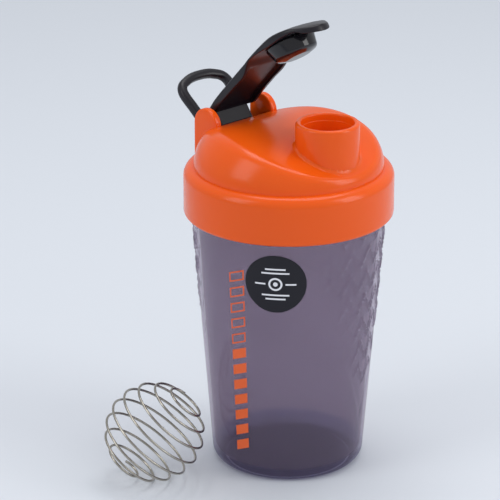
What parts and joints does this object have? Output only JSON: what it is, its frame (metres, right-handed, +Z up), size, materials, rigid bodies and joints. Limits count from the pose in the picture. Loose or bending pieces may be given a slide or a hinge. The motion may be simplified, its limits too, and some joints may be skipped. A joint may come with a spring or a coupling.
{
  "type": "protein shaker bottle",
  "caption": "Shaker bottle: tapered smoke-tinted cup, orange screw lid with drinking spout, black flip cap with plug, carry loop and a loose wire whisk ball",
  "frame": {"origin": "on the surface the cup stands on, under the middle of the cup's flat base", "axes": "+Z up along the cup's axis; the drinking spout is on the -Y side and the hinge line of the flip cap and carry loop lies along X on the +Y side"},
  "size_m": [0.1415, 0.1156, 0.2228],
  "materials": {
    "smoke_plastic": "clear, smoke tinted",
    "orange_plastic": "glossy moulded",
    "black_plastic": "satin moulded",
    "black_gloss_plastic": "glossy moulded",
    "seal_rubber": "matt silicone",
    "steel_wire": "bright drawn wire",
    "label_film": "satin printed disc",
    "print_ink": "screen-printed ink"
  },
  "bodies": {
    "cup_body": {"cup": "smoke_plastic", "round_label": "label_film", "side_print": "print_ink"},
    "seal_ring": {"lid_seal": "seal_rubber"},
    "lid_body": {"lid": "orange_plastic"},
    "cap_body": {"flip_cap": "black_plastic", "spout_plug": "black_gloss_plastic"},
    "loop_body": {"carry_loop": "black_plastic"},
    "ball_body": {"wire_whisk_ball": "steel_wire"}
  },
  "joints": [
    {"name": "lid_rise", "type": "slide", "parent": "cup_body", "child": "seal_ring", "axis": [0, 0, 1], "range_m": [0, 0.0361]},
    {"name": "lid_turn", "type": "hinge", "parent": "seal_ring", "child": "lid_body", "pos_m": [0, 0, 0.1472], "axis": [0, 0, 1], "range_deg": [0, 1080]},
    {"name": "cap_flip", "type": "hinge", "parent": "lid_body", "child": "cap_body", "pos_m": [0, 0.0375, 0.1537], "axis": [-1, 0, 0], "range_deg": [-36, 14]},
    {"name": "loop_swing", "type": "hinge", "parent": "lid_body", "child": "loop_body", "pos_m": [0, 0.0375, 0.1537], "axis": [1, 0, 0], "range_deg": [-56, 5]},
    {"name": "ball_lift", "type": "slide", "parent": "cup_body", "child": "ball_body", "axis": [0, 0, 1], "range_m": [0, 0.07]}
  ],
  "couplings": [
    {"joint": "lid_rise", "follows": "lid_turn", "m_per_rad": 0.0019099}
  ]
}
